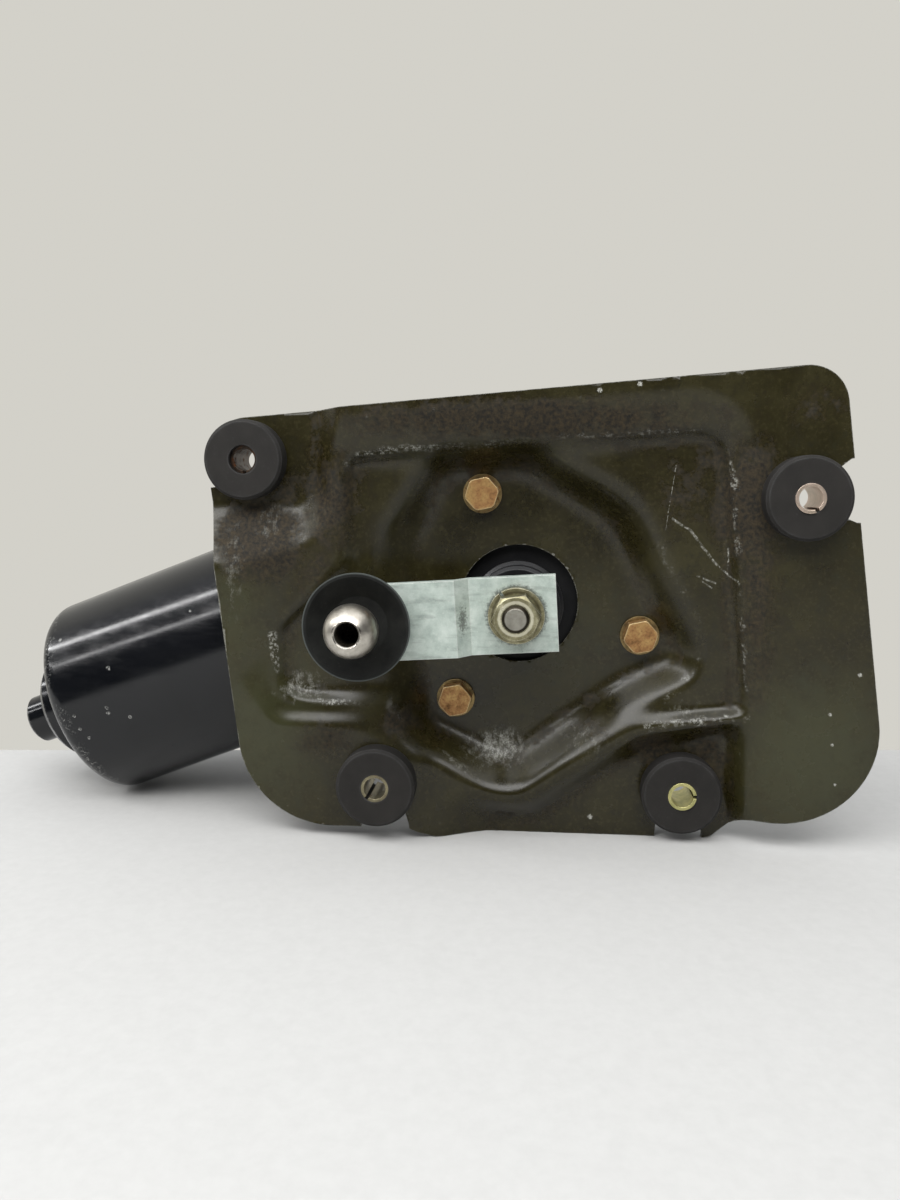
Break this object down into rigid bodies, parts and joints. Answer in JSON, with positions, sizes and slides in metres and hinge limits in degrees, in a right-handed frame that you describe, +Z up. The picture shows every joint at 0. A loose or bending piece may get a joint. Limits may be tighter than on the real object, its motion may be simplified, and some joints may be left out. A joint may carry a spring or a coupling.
{
  "type": "wiper motor",
  "caption": "Electric wiper motor with worm gear, crank arm and ball stud, on a pressed-steel bracket with rubber grommets.",
  "frame": {"origin": "on the output shaft's axis, at the front face of the bracket's flange", "axes": "+X towards the wide end of the bracket, +Y away from the crank side, +Z up as the motor stands on its lower edge"},
  "size_m": [0.3009, 0.125, 0.1507],
  "materials": {
    "bracket_paint": "semi-gloss olive-black paint with grime and chips",
    "grommet_rubber": "matte",
    "sleeve_zinc": "yellow passivated zinc",
    "bolt_zinc": "yellow passivated zinc, rusting",
    "casting": "die-cast, satin black paint",
    "motor_paint": "gloss black",
    "cover_paint": "satin black",
    "arm_zinc": "pale blue zinc, mottled",
    "nut_zinc": "pale olive zinc",
    "steel": "ground",
    "ball_steel": "satin nickel",
    "cup_plastic": "matte black",
    "seal_rubber": "gloss black",
    "bush_bronze": "sintered",
    "wheel_plastic": "natural nylon",
    "brass": "bright",
    "magnet": "sintered ferrite",
    "spring_steel": "bright",
    "lamination": "stacked sheet",
    "copper": "enamelled copper",
    "insulation": "phenolic",
    "carbon": "carbon",
    "connector_plastic": "moulded"
  },
  "bodies": {
    "housing": {"armature_bush_front": "bush_bronze", "armature_bush_rear": "bush_bronze", "armature_bush_thrust": "bush_bronze", "bolt_washers": "bolt_zinc", "brush_boxes": "brass", "brush_plate": "insulation", "brushes": "carbon", "bush_retainer": "steel", "can_screws": "bolt_zinc", "can_seal": "seal_rubber", "connector_socket": "connector_plastic", "contact_plate": "insulation", "cover_gasket": "seal_rubber", "cover_screws": "steel", "field_magnets": "magnet", "gear_cover": "cover_paint", "gear_housing": "casting", "grommet_bottom_left": "grommet_rubber", "grommet_bottom_right": "grommet_rubber", "grommet_right": "grommet_rubber", "grommet_top_left": "grommet_rubber", "housing_bolts": "bolt_zinc", "magnet_clips": "spring_steel", "motor_can": "motor_paint", "mounting_bracket": "bracket_paint", "output_bush_front": "bush_bronze", "output_bush_rear": "bush_bronze", "park_contacts": "brass", "shaft_seal": "seal_rubber", "sleeve_bottom_left": "sleeve_zinc", "sleeve_bottom_right": "sleeve_zinc", "sleeve_right": "sleeve_zinc", "sleeve_top_left": "sleeve_zinc", "terminal_blades": "brass", "thrust_ball": "steel", "thrust_lock_nut": "steel", "thrust_screw": "steel"},
    "crank": {"output_shaft": "steel", "worm_wheel": "wheel_plastic", "park_ring": "brass", "thrust_washer": "steel", "front_washer": "steel", "shaft_circlips": "steel", "crank_arm": "arm_zinc", "spring_washer": "nut_zinc", "crank_nut": "nut_zinc", "ball_stud": "ball_steel", "dust_cup": "cup_plastic"},
    "armature": {"armature_shaft": "steel", "lamination_stack": "lamination", "armature_windings": "copper", "commutator_hub": "insulation", "commutator": "copper"}
  },
  "joints": [
    {"name": "crank_spin", "type": "hinge", "parent": "housing", "child": "crank", "pos_m": [0, 0, 0], "axis": [0, 1, 0], "continuous": true},
    {"name": "armature_spin", "type": "hinge", "parent": "housing", "child": "armature", "pos_m": [-0.00645, 0.048, 0.0168], "axis": [0.9336, 0, 0.3584], "continuous": true}
  ],
  "couplings": [
    {"joint": "armature_spin", "follows": "crank_spin", "ratio": -30}
  ]
}
